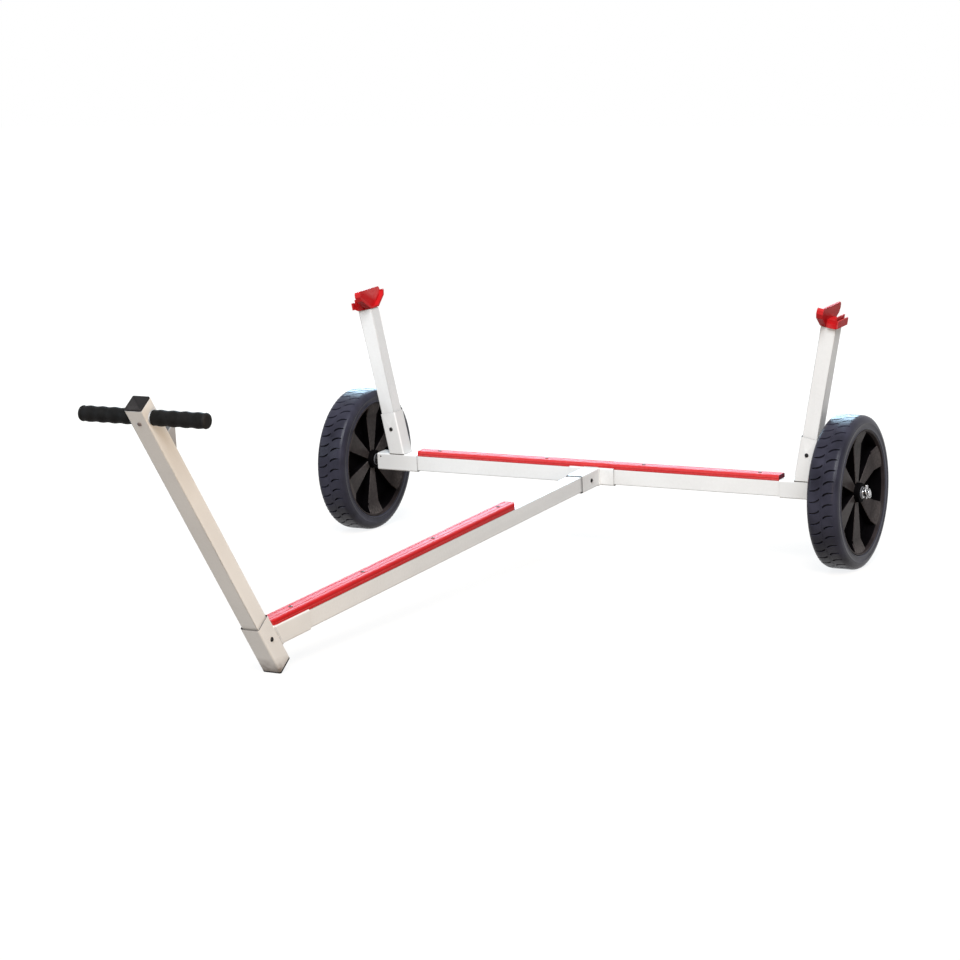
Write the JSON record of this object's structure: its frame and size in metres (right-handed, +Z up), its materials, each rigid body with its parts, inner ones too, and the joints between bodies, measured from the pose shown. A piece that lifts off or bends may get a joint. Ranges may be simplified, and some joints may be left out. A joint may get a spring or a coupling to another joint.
{
  "type": "dinghy launching trolley",
  "caption": "Dinghy launching trolley: wheels on a beam with guard strips and gunwale supports, and a keel tube to a sloping post with a hand bar.",
  "frame": {"origin": "on the floor, at the middle of the trolley's length and width", "axes": "+X along the beam to the right wheel, +Y from the handle to the wheels, +Z up"},
  "size_m": [1.3222, 1.9296, 0.579],
  "materials": {
    "anodised_aluminium": "satin, silver",
    "black_grip_rubber": "black, matt",
    "black_plastic": "black",
    "bush_nylon": "dark grey",
    "grey_sheet_metal": "grey, matt",
    "red_plastic": "red, half gloss",
    "spring_steel": "dark",
    "stainless_steel": "bright",
    "tyre_rubber": "black, half matt, with a lateral tread"
  },
  "bodies": {
    "chassis": {"axle_beam": "anodised_aluminium", "keel_tube": "anodised_aluminium", "tee_fitting": "anodised_aluminium", "foot_fitting": "anodised_aluminium", "foot_plug": "black_plastic", "post_tube": "anodised_aluminium", "post_cap": "black_plastic", "handle_bar": "anodised_aluminium", "left_grip": "black_grip_rubber", "right_grip": "black_grip_rubber", "handle_screw": "stainless_steel", "bow_bracket": "grey_sheet_metal", "keel_strip": "red_plastic", "keel_strip_screw_1": "stainless_steel", "keel_strip_screw_2": "stainless_steel", "keel_strip_screw_3": "stainless_steel", "keel_strip_screw_4": "stainless_steel", "axle_strip": "red_plastic", "axle_strip_screw_1": "stainless_steel", "axle_strip_screw_2": "stainless_steel", "axle_strip_screw_3": "stainless_steel", "axle_strip_screw_4": "stainless_steel", "left_bracket_rivet": "anodised_aluminium", "right_bracket_rivet": "anodised_aluminium", "tee_rivet": "anodised_aluminium", "foot_rivet": "anodised_aluminium", "left_upright_button_spring": "spring_steel", "right_upright_button_spring": "spring_steel", "keel_button_spring": "spring_steel", "post_button_spring": "spring_steel", "left_bracket": "anodised_aluminium", "left_upright": "anodised_aluminium", "left_gunwale_support": "red_plastic", "left_stub_axle": "stainless_steel", "left_washer": "stainless_steel", "left_linch_pin": "stainless_steel", "right_bracket": "anodised_aluminium", "right_upright": "anodised_aluminium", "right_gunwale_support": "red_plastic", "right_stub_axle": "stainless_steel", "right_washer": "stainless_steel", "right_linch_pin": "stainless_steel"},
    "left_wheel": {"left_tyre": "tyre_rubber", "left_wheel_centre": "black_plastic", "left_inner_bush": "bush_nylon", "left_outer_bush": "bush_nylon"},
    "right_wheel": {"right_tyre": "tyre_rubber", "right_wheel_centre": "black_plastic", "right_inner_bush": "bush_nylon", "right_outer_bush": "bush_nylon"},
    "left_upright_button": {"left_upright_button": "black_plastic"},
    "right_upright_button": {"right_upright_button": "black_plastic"},
    "keel_button": {"keel_button": "black_plastic"},
    "post_button": {"post_button": "black_plastic"},
    "left_linch_ring": {"left_linch_ring": "stainless_steel"},
    "right_linch_ring": {"right_linch_ring": "stainless_steel"}
  },
  "joints": [
    {"name": "left_wheel_spin", "type": "hinge", "parent": "chassis", "child": "left_wheel", "pos_m": [-0.611, 0.7968, 0.168], "axis": [1, 0, 0], "continuous": true},
    {"name": "right_wheel_spin", "type": "hinge", "parent": "chassis", "child": "right_wheel", "pos_m": [0.611, 0.7968, 0.168], "axis": [1, 0, 0], "continuous": true},
    {"name": "left_upright_button_press", "type": "slide", "parent": "chassis", "child": "left_upright_button", "axis": [0, 0.9976, 0.0688], "range_m": [0, 0.0051], "stiffness_N_per_m": 600, "springref_m": -0.004, "deforming": ["left_upright_button_spring"]},
    {"name": "right_upright_button_press", "type": "slide", "parent": "chassis", "child": "right_upright_button", "axis": [0, 0.9976, 0.0688], "range_m": [0, 0.0051], "stiffness_N_per_m": 600, "springref_m": -0.004, "deforming": ["right_upright_button_spring"]},
    {"name": "keel_button_press", "type": "slide", "parent": "chassis", "child": "keel_button", "axis": [-1, 0, 0], "range_m": [0, 0.0051], "stiffness_N_per_m": 600, "springref_m": -0.004, "deforming": ["keel_button_spring"]},
    {"name": "post_button_press", "type": "slide", "parent": "chassis", "child": "post_button", "axis": [-1, 0, 0], "range_m": [0, 0.0051], "stiffness_N_per_m": 600, "springref_m": -0.004, "deforming": ["post_button_spring"]},
    {"name": "left_linch_ring_swing", "type": "hinge", "parent": "chassis", "child": "left_linch_ring", "pos_m": [-0.6516, 0.79585, 0.18177], "axis": [0, 0.9976, 0.0688], "range_deg": [0, 100]},
    {"name": "right_linch_ring_swing", "type": "hinge", "parent": "chassis", "child": "right_linch_ring", "pos_m": [0.6516, 0.79585, 0.18177], "axis": [0, -0.9976, -0.0688], "range_deg": [0, 100]}
  ]
}
